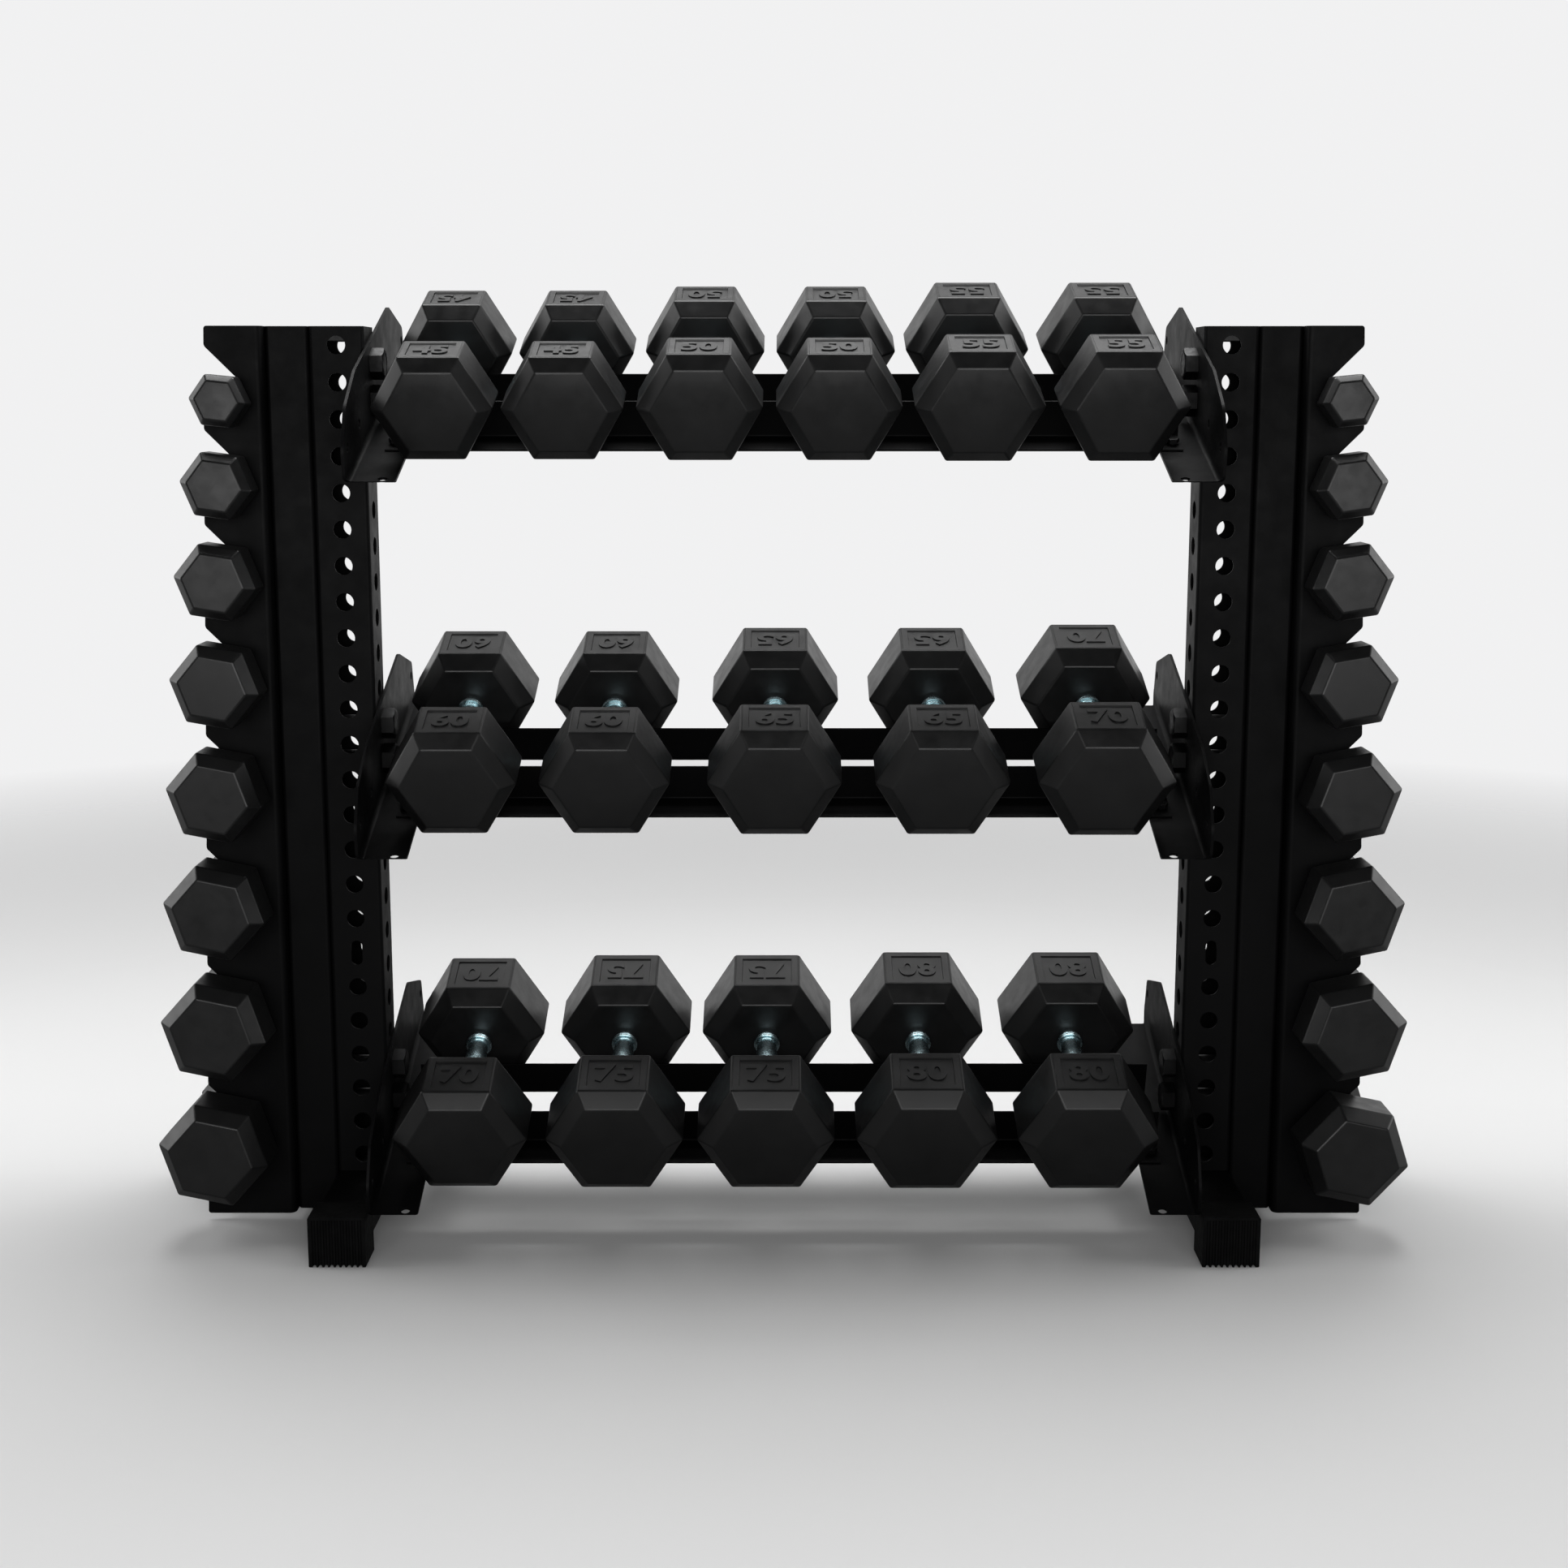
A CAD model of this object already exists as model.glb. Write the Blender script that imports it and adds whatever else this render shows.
"""Looks of a loaded dumbbell rack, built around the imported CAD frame.

All sizes are in metres, in the frame's own axes: X along the shelves, Y to the back, Z up.
"""
import math

import bmesh
import bpy
from mathutils import Matrix, Vector


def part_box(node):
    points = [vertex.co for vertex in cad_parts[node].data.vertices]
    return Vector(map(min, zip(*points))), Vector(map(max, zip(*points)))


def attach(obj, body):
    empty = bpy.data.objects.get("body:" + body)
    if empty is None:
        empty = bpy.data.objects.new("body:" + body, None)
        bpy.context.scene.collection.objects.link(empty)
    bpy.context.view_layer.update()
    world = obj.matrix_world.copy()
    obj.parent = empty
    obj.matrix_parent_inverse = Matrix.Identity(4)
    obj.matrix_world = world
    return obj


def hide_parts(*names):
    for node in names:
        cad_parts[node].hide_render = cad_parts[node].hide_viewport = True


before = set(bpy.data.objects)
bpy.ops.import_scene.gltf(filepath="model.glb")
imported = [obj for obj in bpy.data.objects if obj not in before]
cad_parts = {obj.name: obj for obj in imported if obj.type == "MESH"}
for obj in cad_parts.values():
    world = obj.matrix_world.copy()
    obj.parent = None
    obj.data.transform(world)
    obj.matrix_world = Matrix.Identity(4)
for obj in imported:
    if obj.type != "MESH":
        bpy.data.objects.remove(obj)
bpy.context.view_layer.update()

MM = 0.001

# ---- the rack's own numbers ----

SHELF_TILT = math.radians(18.4)
SHELF_WEIGHTS = {
    "top": [45, 45, 50, 50, 55, 55],
    "middle": [60, 60, 65, 65, 70],
    "bottom": [70, 75, 75, 80, 80],
}
SIDE_WEIGHTS = [5, 10, 15, 20, 25, 30, 35, 40]
SIDE_TURNS = {
    "left": [6, 8, 9, 10, 11, 12, 12, 12],
    "right": [-6, -8, -9, -10, -11, -12, -12, 12],
}
FLATS_UNIT = 40 * MM
LENGTH_UNIT = 31 * MM
BEVEL_SHARE = 0.12
BEVEL_LEN_SHARE = 0.14
GRIP_LEN = 130 * MM
GRIP_R = 17 * MM
NECK_R = 14.5 * MM
NECK_LEN = 14 * MM
SWELL_STEPS = 10
BIG_FLATS = 38.1 * MM
BIG_HEIGHT = 19 * MM
BIG_SHANK_R = 12.4 * MM
SMALL_FLATS = 16 * MM
SMALL_HEIGHT = 6.5 * MM
SMALL_SHANK_R = 5 * MM
SMALL_SHANK = 16.75 * MM
# Gap between a nut and its bolt
NUT_GAP = 0.1 * MM


# ---- camera ----

CAMERA_PLACE = (0, -3.185, 1.203)
# Angle at which the camera looks down
CAMERA_DIP = math.radians(10.09)
LENS = 51.06
SENSOR_WIDTH = 36


def make_camera():
    data = bpy.data.cameras.new("camera")
    data.lens = LENS
    data.sensor_width = SENSOR_WIDTH
    camera = bpy.data.objects.new("camera", data)
    camera.location = CAMERA_PLACE
    camera.rotation_euler = (math.radians(90) - CAMERA_DIP, 0, 0)
    bpy.context.scene.collection.objects.link(camera)
    bpy.context.scene.camera = camera


make_camera()


# ---- materials ----

def new_material(name):
    """A material with its node tree, its shader, and object coordinates in metres."""
    material = bpy.data.materials.new(name)
    material.use_nodes = True
    tree = material.node_tree
    shader = tree.nodes["Principled BSDF"]
    place = tree.nodes.new("ShaderNodeTexCoord").outputs["Object"]
    return material, tree, shader, place


def noise(tree, place, scale, detail=2.0, roughness=0.5):
    node = tree.nodes.new("ShaderNodeTexNoise")
    node.inputs["Scale"].default_value = scale
    node.inputs["Detail"].default_value = detail
    node.inputs["Roughness"].default_value = roughness
    tree.links.new(place, node.inputs["Vector"])
    return node.outputs["Fac"]


def spread(tree, value, low, high, start=0.3, end=0.7):
    """The value's range from start to end, stretched to run from low to high."""
    node = tree.nodes.new("ShaderNodeMapRange")
    node.inputs["From Min"].default_value = start
    node.inputs["From Max"].default_value = end
    node.inputs["To Min"].default_value = low
    node.inputs["To Max"].default_value = high
    tree.links.new(value, node.inputs["Value"])
    return node.outputs["Result"]


def tint(tree, value, dark, light):
    node = tree.nodes.new("ShaderNodeMix")
    node.data_type = "RGBA"
    node.inputs["A"].default_value = (*dark, 1)
    node.inputs["B"].default_value = (*light, 1)
    tree.links.new(value, node.inputs["Factor"])
    return node.outputs["Result"]


def bump(tree, height, distance, strength=1.0, under=None):
    node = tree.nodes.new("ShaderNodeBump")
    node.inputs["Distance"].default_value = distance
    node.inputs["Strength"].default_value = strength
    tree.links.new(height, node.inputs["Height"])
    if under:
        tree.links.new(under, node.inputs["Normal"])
    return node.outputs["Normal"]


def powder_coat():
    """Satin black powder coat: fine orange peel, and slightly uneven gloss."""
    material, tree, shader, place = new_material("powder_coat")
    shade = spread(tree, noise(tree, place, 9, 4), 0, 1)
    colour = tint(tree, shade, (0.0022, 0.0022, 0.0024), (0.0040, 0.0040, 0.0043))
    tree.links.new(colour, shader.inputs["Base Color"])
    gloss = spread(tree, noise(tree, place, 30, 5, 0.6), 0.42, 0.56)
    tree.links.new(gloss, shader.inputs["Roughness"])
    shader.inputs["Specular IOR Level"].default_value = 0.09
    peel = bump(tree, noise(tree, place, 620, 2), 0.00012, 0.35)
    grain = bump(tree, noise(tree, place, 2600, 1), 0.00003, 0.3, peel)
    tree.links.new(grain, shader.inputs["Normal"])
    return material


def black_oxide():
    """Fastener steel: darker and smoother than the coat, with worn high spots."""
    material, tree, shader, place = new_material("black_oxide")
    shade = spread(tree, noise(tree, place, 60, 5), 0, 1, 0.35, 0.8)
    colour = tint(tree, shade, (0.0028, 0.0028, 0.0030), (0.0090, 0.0090, 0.0095))
    tree.links.new(colour, shader.inputs["Base Color"])
    gloss = spread(tree, noise(tree, place, 140, 4), 0.34, 0.52)
    tree.links.new(gloss, shader.inputs["Roughness"])
    shader.inputs["Metallic"].default_value = 0.35
    shader.inputs["Specular IOR Level"].default_value = 0.35
    turned = bump(tree, noise(tree, place, 1500, 2), 0.00004, 0.4)
    tree.links.new(turned, shader.inputs["Normal"])
    return material


def head_rubber():
    """Moulded rubber over cast iron: matt, with fine pitting and dusty patches."""
    material, tree, shader, place = new_material("head_rubber")
    dust = spread(tree, noise(tree, place, 14, 6, 0.6), 0, 1, 0.35, 0.75)
    colour = tint(tree, dust, (0.0060, 0.0060, 0.0062), (0.0110, 0.0110, 0.0113))
    tree.links.new(colour, shader.inputs["Base Color"])
    gloss = spread(tree, noise(tree, place, 45, 5, 0.6), 0.30, 0.42)
    tree.links.new(gloss, shader.inputs["Roughness"])
    shader.inputs["Specular IOR Level"].default_value = 0.46
    pits = bump(tree, noise(tree, place, 900, 3, 0.6), 0.00010, 0.35)
    waves = bump(tree, noise(tree, place, 55, 2), 0.0004, 0.25, pits)
    tree.links.new(waves, shader.inputs["Normal"])
    return material


def boot_rubber():
    material, tree, shader, place = new_material("boot_rubber")
    dust = spread(tree, noise(tree, place, 35, 5), 0, 1, 0.4, 0.8)
    colour = tint(tree, dust, (0.0022, 0.0022, 0.0023), (0.0050, 0.0050, 0.0052))
    tree.links.new(colour, shader.inputs["Base Color"])
    gloss = spread(tree, noise(tree, place, 90, 4), 0.62, 0.78)
    tree.links.new(gloss, shader.inputs["Roughness"])
    shader.inputs["Specular IOR Level"].default_value = 0.10
    grain = bump(tree, noise(tree, place, 1100, 3), 0.00008, 0.4)
    tree.links.new(grain, shader.inputs["Normal"])
    return material


def plug_plastic():
    material, tree, shader, place = new_material("plug_plastic")
    shade = spread(tree, noise(tree, place, 40, 3), 0, 1)
    colour = tint(tree, shade, (0.0070, 0.0070, 0.0072), (0.0100, 0.0100, 0.0102))
    tree.links.new(colour, shader.inputs["Base Color"])
    gloss = spread(tree, noise(tree, place, 120, 3), 0.46, 0.58)
    tree.links.new(gloss, shader.inputs["Roughness"])
    shader.inputs["Specular IOR Level"].default_value = 0.4
    sparks = bump(tree, noise(tree, place, 1800, 2), 0.00005, 0.5)
    tree.links.new(sparks, shader.inputs["Normal"])
    return material


def handle_chrome():
    """Polished chrome with a cool tint and faint turning marks."""
    material, tree, shader, place = new_material("handle_chrome")
    shader.inputs["Metallic"].default_value = 1.0
    haze = spread(tree, noise(tree, place, 70, 5), 0, 1, 0.35, 0.75)
    colour = tint(tree, haze, (0.44, 0.60, 0.64), (0.64, 0.80, 0.84))
    tree.links.new(colour, shader.inputs["Base Color"])
    gloss = spread(tree, noise(tree, place, 160, 5), 0.20, 0.32)
    tree.links.new(gloss, shader.inputs["Roughness"])
    marks = bump(tree, noise(tree, place, 1300, 2), 0.00001, 0.08)
    tree.links.new(marks, shader.inputs["Normal"])
    return material


MATERIALS = {
    "frame_steel": powder_coat(),
    "fastener_steel": black_oxide(),
    "dumbbell_rubber": head_rubber(),
    "boot_rubber": boot_rubber(),
    "plug_plastic": plug_plastic(),
    "handle_chrome": handle_chrome(),
}


# ---- mesh helpers ----

# Vertices of a CAD mesh closer than this are one
WELD = 0.01 * MM
# Faces whose angle is under this are taken as one flat or smooth face
FLAT_ANGLE = math.radians(0.5)


def add_piece(name, bm, slot, body, smooth_angle=35):
    """Turns a finished bmesh into a piece that rides on a body; its origin is the rack's."""
    bmesh.ops.recalc_face_normals(bm, faces=bm.faces)
    limit = math.radians(smooth_angle)
    for edge in bm.edges:
        edge.smooth = edge.calc_face_angle(math.pi) < limit
    for face in bm.faces:
        face.smooth = True
    mesh = bpy.data.meshes.new(name)
    bm.to_mesh(mesh)
    bm.free()
    mesh.materials.append(MATERIALS[slot])
    piece = bpy.data.objects.new(name, mesh)
    bpy.context.scene.collection.objects.link(piece)
    weighted = piece.modifiers.new("even_normals", "WEIGHTED_NORMAL")
    weighted.keep_sharp = True
    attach(piece, body)
    return piece


def islands(node):
    """The box of each separate solid of a CAD node, lowest and leftmost first."""
    bm = bmesh.new()
    bm.from_mesh(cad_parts[node].data)
    bmesh.ops.remove_doubles(bm, verts=bm.verts, dist=WELD)
    left = set(bm.verts)
    boxes = []
    while left:
        group = [left.pop()]
        for vert in group:
            for edge in vert.link_edges:
                other = edge.other_vert(vert)
                if other in left:
                    left.remove(other)
                    group.append(other)
        low = Vector([min(v.co[k] for v in group) for k in range(3)])
        high = Vector([max(v.co[k] for v in group) for k in range(3)])
        boxes.append((low, high))
    bm.free()
    return sorted(boxes, key=lambda box: (round(box[0].z, 4), box[0].x, box[0].y))


def soften(node, slot, width, segments=2, angle=38):
    """A copy of a CAD node's shape with its folded and cut edges rounded."""
    bm = bmesh.new()
    bm.from_mesh(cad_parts[node].data)
    bmesh.ops.remove_doubles(bm, verts=bm.verts, dist=WELD)
    bmesh.ops.dissolve_limit(
        bm, angle_limit=FLAT_ANGLE, verts=bm.verts, edges=bm.edges
    )
    sharp = [
        edge for edge in bm.edges
        if edge.is_manifold and edge.calc_face_angle(0) > math.radians(angle)
    ]
    bmesh.ops.bevel(
        bm, geom=sharp, offset=width, segments=segments, profile=0.5,
        affect="EDGES", clamp_overlap=True,
    )
    piece = add_piece(node + "_skin", bm, slot, "rack")
    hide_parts(node)
    return piece


def ring(bm, centre, radii, axis_place):
    """A closed ring of vertices about the Y axis at a place along it."""
    count = len(radii)
    return [
        bm.verts.new((
            centre[0] + radius * math.cos(2 * math.pi * k / count),
            axis_place,
            centre[1] + radius * math.sin(2 * math.pi * k / count),
        ))
        for k, radius in enumerate(radii)
    ]


def bridge(bm, first, second):
    count = len(first)
    return [
        bm.faces.new((first[k], first[(k + 1) % count], second[(k + 1) % count], second[k]))
        for k in range(count)
    ]


def lathe(bm, outline, steps=64):
    """A closed turned shape about the Y axis from (radius, place) points."""
    rings = [ring(bm, (0, 0), [radius] * steps, place) for radius, place in outline]
    for first, second in zip(rings, rings[1:]):
        bridge(bm, first, second)
    bm.faces.new(rings[0])
    bm.faces.new(reversed(rings[-1]))


# ---- dumbbells ----

EDGE_R = 2.2 * MM
# The sunk panel on a head's top flat, as shares of the flat
PANEL_WIDTH = 0.76
PANEL_DEPTH = 0.74
PANEL_SINK = 2.2 * MM
PANEL_SLOPE = 0.8 * MM
GROOVE_INSET = 2.0 * MM
GROOVE_W = 1.6 * MM
GROOVE_SINK = 1.6 * MM
# The raised number, as shares of the panel, its height above the panel and its hidden foot
DIGIT_WIDTH = 0.74
DIGIT_DEPTH = 0.64
DIGIT_RISE = 2.0 * MM
DIGIT_FOOT = 0.2 * MM
DIGIT_WEIGHT = 0.036
CREASE_RISE = 0.5 * MM
# How far a head's end bulges, and its rings: each one's inset as a share of the end's
# radius, and its share of the bulge
CROWN = 4.5 * MM
CROWN_RINGS = [(0.18, 0.46), (0.18, 0.28), (0.18, 0.17), (0.18, 0.09)]


def head_size(pounds):
    root = pounds ** (1 / 3)
    return FLATS_UNIT * root, LENGTH_UNIT * root


def digits_mesh(label):
    """The number's raised shape, flat at Z = 0, in a box from -0.5 to 0.5 across and up."""
    curve = bpy.data.curves.new("digits", "FONT")
    curve.body = label
    curve.extrude = 0.5
    curve.offset = DIGIT_WEIGHT
    curve.resolution_u = 4
    curve.space_character = 1.08
    text = bpy.data.objects.new("digits", curve)
    bpy.context.scene.collection.objects.link(text)
    bpy.context.view_layer.update()
    graph = bpy.context.evaluated_depsgraph_get()
    mesh = bpy.data.meshes.new_from_object(text.evaluated_get(graph))
    bpy.data.objects.remove(text)
    bpy.data.curves.remove(curve)
    low = Vector([min(v.co[k] for v in mesh.vertices) for k in range(3)])
    high = Vector([max(v.co[k] for v in mesh.vertices) for k in range(3)])
    size = high - low
    fit = Matrix.Diagonal((1 / size.x, 1 / size.y, 1 / size.z, 1))
    shift = Matrix.Translation((-(low.x + high.x) / 2, -(low.y + high.y) / 2, -low.z))
    mesh.transform(fit @ shift)
    return mesh


DIGITS = {}


def add_digits(bm, label, centre, width, depth, rise):
    if label not in DIGITS:
        DIGITS[label] = digits_mesh(label)
    before = set(bm.verts)
    bm.from_mesh(DIGITS[label])
    for vert in set(bm.verts) - before:
        top = vert.co.z > 0.5
        vert.co = Vector((
            centre.x + vert.co.x * width,
            centre.y + vert.co.y * depth,
            centre.z + (rise if top else -DIGIT_FOOT),
        ))


def top_panel(bm, face, flats, length):
    """Cuts a shallow groove round a head's top flat and sinks a panel in its middle."""
    bmesh.ops.inset_individual(bm, faces=[face], thickness=GROOVE_INSET)
    bmesh.ops.inset_individual(bm, faces=[face], thickness=GROOVE_W / 2)
    for vert in face.verts:
        vert.co.z -= GROOVE_SINK
    bmesh.ops.inset_individual(bm, faces=[face], thickness=GROOVE_W / 2)
    for vert in face.verts:
        vert.co.z += GROOVE_SINK
    centre = face.calc_center_median()
    side = flats / math.sqrt(3)
    depth = length - 2 * BEVEL_LEN_SHARE * flats
    bmesh.ops.inset_individual(bm, faces=[face], thickness=0.1 * MM)
    for vert in face.verts:
        vert.co.x = centre.x + math.copysign(PANEL_WIDTH * side / 2, vert.co.x - centre.x)
        vert.co.y = centre.y + math.copysign(PANEL_DEPTH * depth / 2, vert.co.y - centre.y)
    bmesh.ops.inset_individual(bm, faces=[face], thickness=PANEL_SLOPE)
    for vert in face.verts:
        vert.co.z -= PANEL_SINK
    return centre, PANEL_WIDTH * side, PANEL_DEPTH * depth


def front_head(bm, pounds, label, crease):
    """One head at the front end of the handle: a bevelled hexagon with a flat on top."""
    flats, length = head_size(pounds)
    corner = flats / math.sqrt(3)
    narrow = corner * (1 - 2 * BEVEL_SHARE)
    bevel_len = BEVEL_LEN_SHARE * flats
    near = -GRIP_LEN / 2
    far = near - length
    rim = far if crease else far + CROWN
    places = [(narrow, rim), (corner, far + bevel_len), (corner, near - bevel_len), (narrow, near)]
    rings = [ring(bm, (0, 0), [radius] * 6, place) for radius, place in places]
    walls = [bridge(bm, first, second) for first, second in zip(rings, rings[1:])]
    ends = [bm.faces.new(rings[0]), bm.faces.new(reversed(rings[-1]))]
    bmesh.ops.recalc_face_normals(bm, faces=bm.faces)
    top = walls[1][1]
    edges = list(bm.edges)
    if crease:
        split = bmesh.utils.face_split(ends[0], rings[0][crease], rings[0][crease + 3])[1]
        middle = bmesh.utils.edge_split(split.edge, split.vert, 0.5)[1]
        middle.co.y -= CREASE_RISE
    panel = None
    if label:
        panel = top_panel(bm, top, flats, length)
    bmesh.ops.bevel(
        bm, geom=edges, offset=EDGE_R, segments=3, profile=0.5,
        affect="EDGES", clamp_overlap=False,
    )
    if not crease:
        bm.normal_update()
        outer = min(bm.faces, key=lambda face: face.normal.y * face.calc_area())
        for share, rise in CROWN_RINGS:
            bmesh.ops.inset_individual(
                bm, faces=[outer], thickness=share * narrow, depth=rise * CROWN
            )
    if label:
        centre, width, depth = panel
        floor = Vector((centre.x, centre.y, flats / 2 - PANEL_SINK))
        add_digits(bm, label, floor, width * DIGIT_WIDTH, depth * DIGIT_DEPTH, DIGIT_RISE)


def both_heads(pounds, numbered, crease):
    bm = bmesh.new()
    front_head(bm, pounds, str(pounds) if numbered else "", crease)
    copy = bmesh.ops.duplicate(bm, geom=bm.verts[:] + bm.edges[:] + bm.faces[:])
    turned = [item for item in copy["geom"] if isinstance(item, bmesh.types.BMVert)]
    bmesh.ops.rotate(bm, verts=turned, cent=(0, 0, 0), matrix=Matrix.Rotation(math.pi, 3, "Z"))
    return bm


def handle_outline():
    """Half the handle, from its middle to inside the head, as (radius, place) points."""
    end = GRIP_LEN / 2
    neck = end - NECK_LEN
    swell = []
    for k in range(SWELL_STEPS + 1):
        share = k / SWELL_STEPS
        rise = (GRIP_R - NECK_R) * math.cos(math.pi / 2 * share) ** 2
        swell.append((NECK_R + rise, neck * share))
    # Millimetres, each place counted from the head's inner face
    collars = [
        (14.6, -13.0), (15.2, -12.6), (15.4, -11.6), (15.2, -10.6), (13.6, -10.4),
        (13.6, -9.9), (18.0, -9.7), (18.9, -9.0), (19.1, -7.4), (18.7, -7.1),
        (18.7, -6.7), (19.1, -6.4), (18.9, -4.9), (18.0, -4.2), (13.8, -4.0),
        (13.8, -3.2), (17.0, -3.0), (17.8, -2.3), (17.8, -0.9), (17.2, -0.3),
        (12.0, -0.1), (12.0, 10.0),
    ]
    return swell + [(radius * MM, end + place * MM) for radius, place in collars]


def handle():
    bm = bmesh.new()
    half = handle_outline()
    mirrored = [(radius, -place) for radius, place in reversed(half[1:])]
    lathe(bm, mirrored + half)
    return bm


def place_dumbbell(node, pounds, turn, numbered, crease):
    low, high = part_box(node)
    spot = Matrix.Translation((low + high) / 2) @ turn
    heads = both_heads(pounds, numbered, crease)
    heads.transform(spot)
    piece = add_piece(node + "_heads", heads, "dumbbell_rubber", node)
    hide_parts(node)
    grip = handle()
    grip.transform(spot)
    add_piece(node + "_handle", grip, "handle_chrome", node)


def make_dumbbells():
    lean = Matrix.Rotation(SHELF_TILT, 4, "X")
    for shelf, weights in SHELF_WEIGHTS.items():
        for number, pounds in enumerate(weights, 1):
            place_dumbbell(f"{shelf}_dumbbell_{number}", pounds, lean, True, 0)
    for side, turns in SIDE_TURNS.items():
        crease = 2 if side == "right" else 1
        for number, pounds in enumerate(SIDE_WEIGHTS, 1):
            turn = Matrix.Rotation(math.radians(turns[number - 1]), 4, "Y")
            place_dumbbell(f"{side}_dumbbell_{number}", pounds, turn, False, crease)


# ---- fasteners ----

HEX_STEPS = 48
# Radius of the flat circle on a hexagon's end, as a share of its flats
FACE_SHARE = 0.475
CHAMFER = math.radians(30)
# The shallow dish in a bolt head: its outer and inner radius as shares of that circle
DISH_OUTER = 0.80
DISH_INNER = 0.76
DISH_SINK = 0.4 * MM
BORE_LIP = 0.9 * MM
BOLT_POINT = 1.2 * MM
# Start of a shank inside its own head
SHANK_START = 0.1 * MM


def hex_radii(flats):
    """Distances from the axis to a hexagon's sides, at even steps of angle."""
    radii = []
    for k in range(HEX_STEPS):
        angle = (360 * k / HEX_STEPS + 30) % 60 - 30
        radii.append(flats / 2 / math.cos(math.radians(angle)))
    return radii


def hexagon_part(bm, spot, flats, height, shank_r=0, shank=0, bore=0, both_ends=False):
    """A bolt head or nut along +Y from its seat at Y = 0, its corners chamfered to a cone."""
    before = set(bm.verts)
    radii = hex_radii(flats)
    face_r = FACE_SHARE * flats
    drops = [(radius - face_r) * math.tan(CHAMFER) for radius in radii]
    circle = [face_r] * HEX_STEPS
    top_circle = ring(bm, (0, 0), circle, height)
    top_hex = ring(bm, (0, 0), radii, height)
    low_hex = ring(bm, (0, 0), radii, 0)
    for vert, drop in zip(top_hex, drops):
        vert.co.y -= drop
    bridge(bm, top_circle, top_hex)
    bridge(bm, top_hex, low_hex)
    if both_ends:
        for vert, drop in zip(low_hex, drops):
            vert.co.y += drop
        low_circle = ring(bm, (0, 0), circle, 0)
        bridge(bm, low_hex, low_circle)
    else:
        low_circle = low_hex
    if bore:
        outer = bore + BORE_LIP
        outline = [(outer, height), (bore, height - BORE_LIP), (bore, BORE_LIP), (outer, 0)]
        rings = [ring(bm, (0, 0), [r] * HEX_STEPS, place) for r, place in outline]
        bridge(bm, rings[0], top_circle)
        for first, second in zip(rings, rings[1:]):
            bridge(bm, second, first)
        bridge(bm, low_circle, rings[-1])
    else:
        dish = ring(bm, (0, 0), [DISH_OUTER * face_r] * HEX_STEPS, height)
        floor = ring(bm, (0, 0), [DISH_INNER * face_r] * HEX_STEPS, height - DISH_SINK)
        bridge(bm, dish, top_circle)
        bridge(bm, floor, dish)
        bm.faces.new(reversed(floor))
        bm.faces.new(low_circle)
    if shank:
        outline = [
            (shank_r, SHANK_START), (shank_r, BOLT_POINT - shank), (shank_r - BOLT_POINT, -shank),
        ]
        lathe(bm, outline, HEX_STEPS)
    bmesh.ops.transform(bm, matrix=spot, verts=[v for v in bm.verts if v not in before])


def make_big_bolts():
    """Each bolt lies along X with its head on a bracket, towards the rack's middle."""
    bolts = bmesh.new()
    for low, high in islands("shelf_bolts"):
        left = high.x < 0
        seat = high.x - BIG_HEIGHT if left else low.x + BIG_HEIGHT
        spot = Vector((seat, (low.y + high.y) / 2, (low.z + high.z) / 2))
        turn = Matrix.Rotation(math.radians(-90 if left else 90), 4, "Z")
        length = (high.x - low.x) - BIG_HEIGHT
        hexagon_part(
            bolts, Matrix.Translation(spot) @ turn, BIG_FLATS, BIG_HEIGHT, BIG_SHANK_R, length
        )
    piece = add_piece("shelf_bolts_skin", bolts, "fastener_steel", "rack")
    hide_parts("shelf_bolts")
    nuts = bmesh.new()
    for low, high in islands("shelf_nuts"):
        left = high.x < 0
        seat = high.x if left else low.x
        spot = Vector((seat, (low.y + high.y) / 2, (low.z + high.z) / 2))
        turn = Matrix.Rotation(math.radians(90 if left else -90), 4, "Z")
        hexagon_part(
            nuts, Matrix.Translation(spot) @ turn, BIG_FLATS, BIG_HEIGHT,
            bore=BIG_SHANK_R + NUT_GAP, both_ends=True,
        )
    piece = add_piece("shelf_nuts_skin", nuts, "fastener_steel", "rack")
    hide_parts("shelf_nuts")


def make_small_bolts():
    """Each bolt stands square to its shelf, its head on the rail and its nut below."""
    up = Vector((0, -math.sin(SHELF_TILT), math.cos(SHELF_TILT)))
    lean = Matrix.Rotation(SHELF_TILT + math.pi / 2, 4, "X") @ Matrix.Rotation(math.pi / 6, 4, "Y")
    bolts = bmesh.new()
    heads = [(low + high) / 2 for low, high in islands("rail_bolts")]
    for middle in heads:
        seat = middle + up * (SMALL_SHANK - SMALL_HEIGHT) / 2
        spot = Matrix.Translation(seat) @ lean
        hexagon_part(bolts, spot, SMALL_FLATS, SMALL_HEIGHT, SMALL_SHANK_R, SMALL_SHANK)
    piece = add_piece("rail_bolts_skin", bolts, "fastener_steel", "rack")
    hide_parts("rail_bolts")
    nuts = bmesh.new()
    for low, high in islands("rail_nuts"):
        seat = (low + high) / 2 - up * SMALL_HEIGHT / 2
        spot = Matrix.Translation(seat) @ lean
        hexagon_part(
            nuts, spot, SMALL_FLATS, SMALL_HEIGHT, bore=SMALL_SHANK_R + NUT_GAP, both_ends=True
        )
    piece = add_piece("rail_nuts_skin", nuts, "fastener_steel", "rack")
    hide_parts("rail_nuts")


# ---- frame ----

# Rounding on the edges of each kind of part
TUBE_EDGE = 0.6 * MM
CRADLE_EDGE = 0.7 * MM
BRACKET_EDGE = 0.8 * MM
RAIL_EDGE = 0.6 * MM
BOOT_EDGE = 0.5 * MM
PLUG_EDGE = 1.0 * MM


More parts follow.
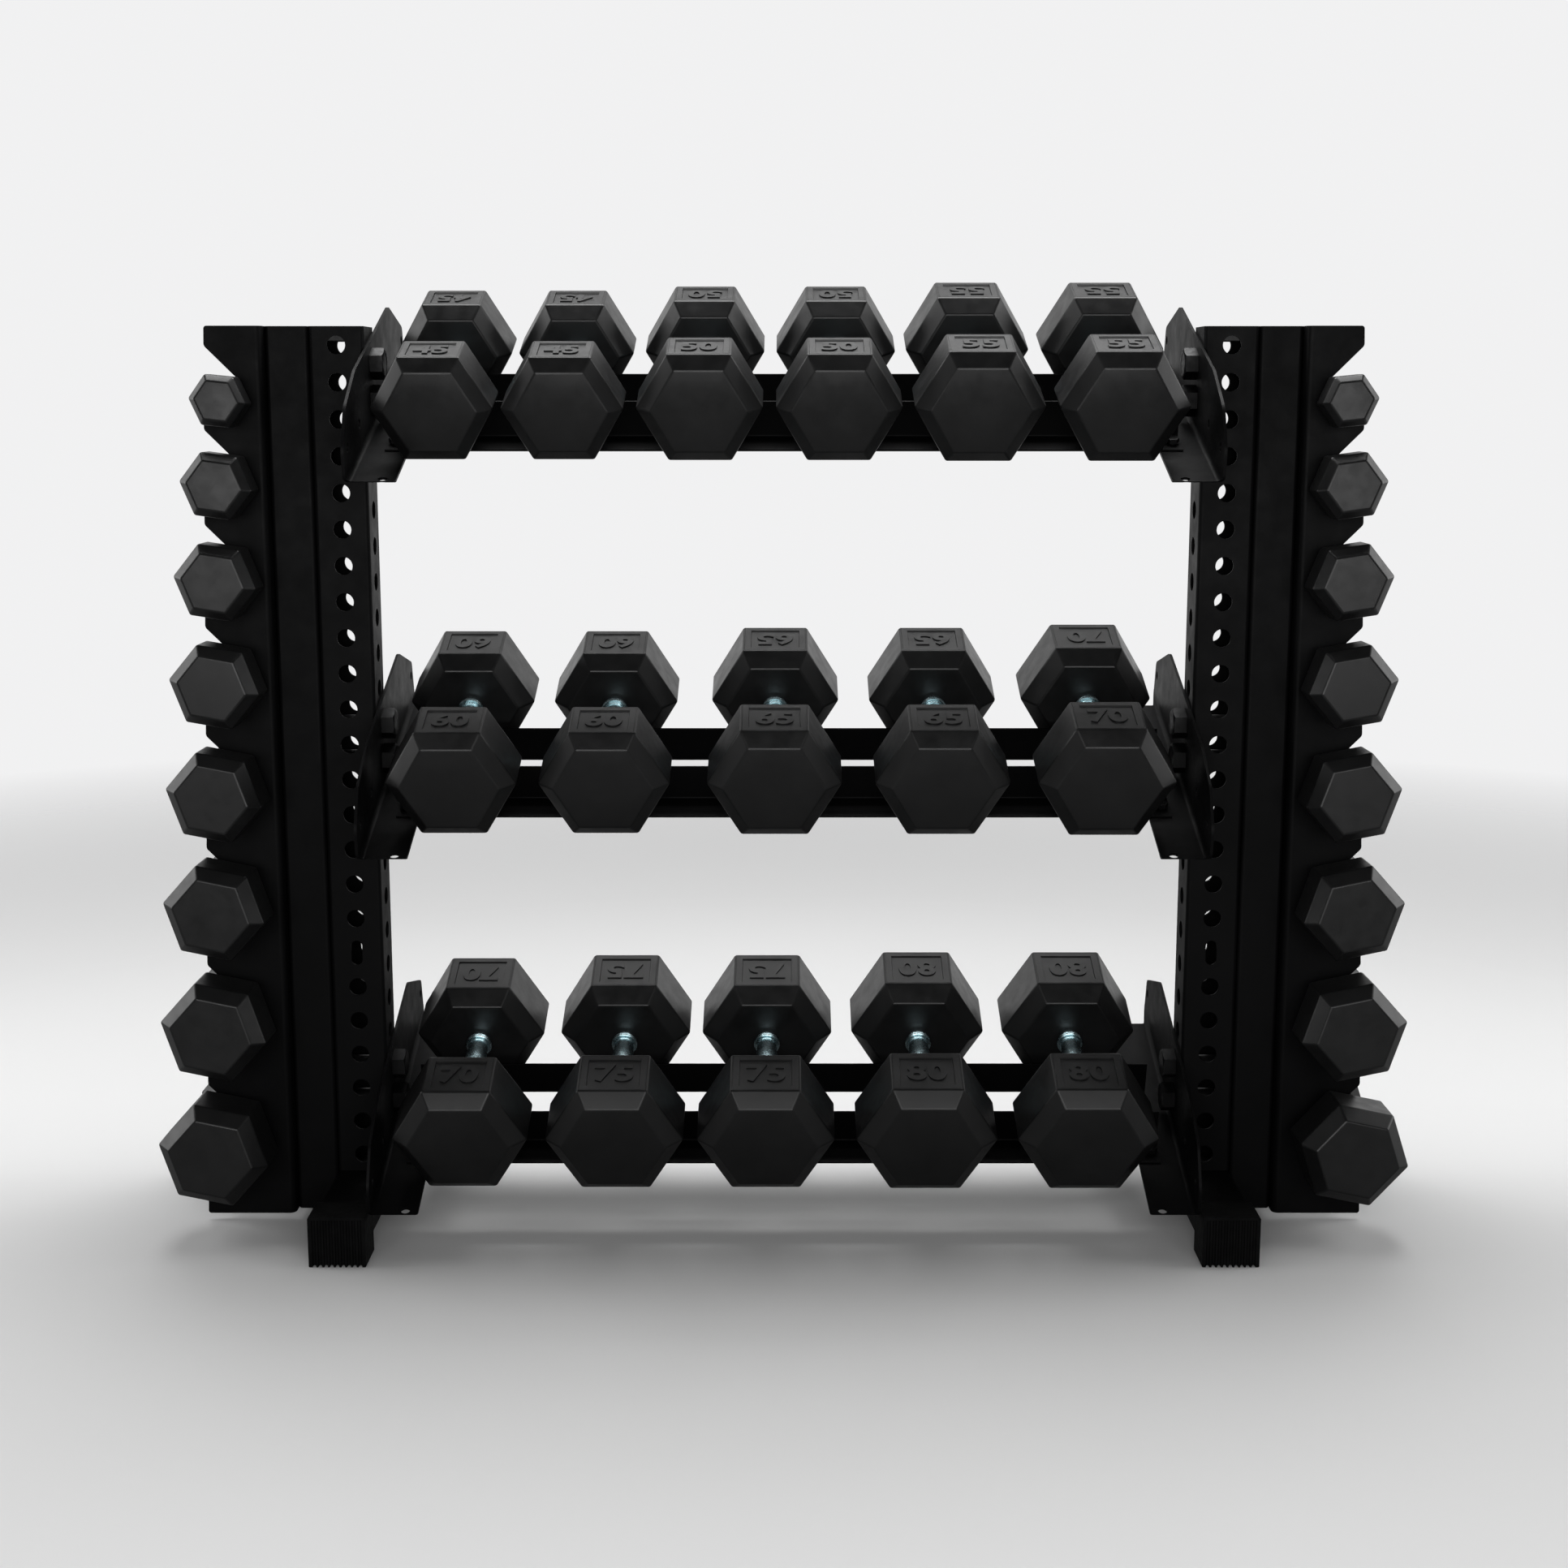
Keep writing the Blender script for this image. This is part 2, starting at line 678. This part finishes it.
def make_frame():
    for side in ("left", "right"):
        soften(side + "_upright", "frame_steel", TUBE_EDGE)
        soften(side + "_base_tube", "frame_steel", TUBE_EDGE)
        soften(side + "_side_spine", "frame_steel", TUBE_EDGE)
        soften(side + "_side_cradle", "frame_steel", CRADLE_EDGE)
        for shelf in SHELF_WEIGHTS:
            soften(f"{shelf}_{side}_bracket", "frame_steel", BRACKET_EDGE)
    for shelf in SHELF_WEIGHTS:
        for end in ("front", "rear"):
            soften(f"{shelf}_{end}_rail", "frame_steel", RAIL_EDGE)
    for end in ("front", "rear"):
        soften(end + "_foot_boots", "boot_rubber", BOOT_EDGE)
    for node in ("upright_plugs", "spine_plugs"):
        soften(node, "plug_plastic", PLUG_EDGE)


# ---- floor and light ----

FLOOR_SIZE = 5
FLOOR_FRONT = (0.74, 0.74, 0.74)
FLOOR_BEHIND = (0.80, 0.80, 0.80)
# The floor's colour in the rack's reflections and in the light that it throws back
FLOOR_UNSEEN = (0.22, 0.22, 0.22, 1)
# Distances from the rack between which the floor thins out
FADE_START = 2.0
FADE_END = 4.5
SURROUNDINGS = (0.88, 0.88, 0.885, 1)


def floor_material():
    """Pale floor, lighter behind the rack, that thins out to the pale surroundings.

    It is darker to everything but the camera, so that it doesn't light the black paint.
    """
    material, tree, shader, place = new_material("pale_floor")
    parts = tree.nodes.new("ShaderNodeSeparateXYZ")
    tree.links.new(place, parts.inputs["Vector"])
    depth = spread(tree, parts.outputs["Y"], 0, 1, -0.1, 0.5)
    colour = tint(tree, depth, FLOOR_FRONT, FLOOR_BEHIND)
    seen = tree.nodes.new("ShaderNodeLightPath").outputs["Is Camera Ray"]
    soft = tree.nodes.new("ShaderNodeMix")
    soft.data_type = "RGBA"
    soft.inputs["A"].default_value = FLOOR_UNSEEN
    tree.links.new(seen, soft.inputs["Factor"])
    tree.links.new(colour, soft.inputs["B"])
    tree.links.new(soft.outputs["Result"], shader.inputs["Base Color"])
    gloss = spread(tree, noise(tree, place, 3, 3), 0.75, 0.9)
    tree.links.new(gloss, shader.inputs["Roughness"])
    shader.inputs["Specular IOR Level"].default_value = 0.1
    span = tree.nodes.new("ShaderNodeVectorMath")
    span.operation = "LENGTH"
    tree.links.new(place, span.inputs[0])
    alpha = spread(tree, span.outputs["Value"], 1, 0, FADE_START, FADE_END)
    tree.links.new(alpha, shader.inputs["Alpha"])
    return material


def make_floor():
    bm = bmesh.new()
    bmesh.ops.create_grid(bm, x_segments=8, y_segments=8, size=FLOOR_SIZE)
    mesh = bpy.data.meshes.new("floor")
    bm.to_mesh(mesh)
    bm.free()
    mesh.materials.append(floor_material())
    floor = bpy.data.objects.new("floor", mesh)
    bpy.context.scene.collection.objects.link(floor)


def make_world():
    """Pale surroundings for the eye; what the paint mirrors is darker in front and overhead."""
    world = bpy.data.worlds.new("studio")
    world.use_nodes = True
    tree = world.node_tree
    shown = tree.nodes["Background"]
    shown.inputs["Color"].default_value = SURROUNDINGS
    light = tree.nodes.new("ShaderNodeBackground")
    light.inputs["Color"].default_value = (1, 1, 1, 1)
    direction = tree.nodes.new("ShaderNodeTexCoord").outputs["Generated"]
    parts = tree.nodes.new("ShaderNodeSeparateXYZ")
    tree.links.new(direction, parts.inputs["Vector"])
    strength = spread(tree, parts.outputs["Y"], 0.05, 0.80, -0.7, 0.6)
    overhead = spread(tree, parts.outputs["Z"], 1, 0.22, 0.20, 0.70)
    product = tree.nodes.new("ShaderNodeMath")
    product.operation = "MULTIPLY"
    tree.links.new(strength, product.inputs[0])
    tree.links.new(overhead, product.inputs[1])
    tree.links.new(product.outputs["Value"], light.inputs["Strength"])
    path = tree.nodes.new("ShaderNodeLightPath")
    mix = tree.nodes.new("ShaderNodeMixShader")
    tree.links.new(path.outputs["Is Camera Ray"], mix.inputs["Fac"])
    tree.links.new(light.outputs["Background"], mix.inputs[1])
    tree.links.new(shown.outputs["Background"], mix.inputs[2])
    tree.links.new(mix.outputs["Shader"], tree.nodes["World Output"].inputs["Surface"])
    bpy.context.scene.world = world


def area_light(name, place, target, width, height, watts):
    """A soft rectangular lamp at a place, aimed at a target."""
    data = bpy.data.lights.new(name, "AREA")
    data.shape = "RECTANGLE"
    data.size = width
    data.size_y = height
    data.energy = watts
    lamp = bpy.data.objects.new(name, data)
    lamp.location = place
    aim = Vector(target) - Vector(place)
    lamp.rotation_euler = aim.to_track_quat("-Z", "Y").to_euler()
    bpy.context.scene.collection.objects.link(lamp)


def make_lights():
    area_light("softbox_top", (0, 0.75, 3.3), (0, 0, 0), 3.0, 1.6, 92)
    area_light("softbox_front", (0, -3.5, 1.2), (0, 0, 0.7), 3.8, 1.3, 54)
    area_light("softbox_left", (-3.0, 0.2, 1.7), (0, 0, 0.7), 1.6, 2.4, 30)
    area_light("softbox_right", (3.0, 0.2, 1.7), (0, 0, 0.7), 1.6, 2.4, 30)


make_frame()
make_dumbbells()
make_big_bolts()
make_small_bolts()
make_floor()
make_world()
make_lights()
bpy.context.scene.view_settings.view_transform = "Standard"
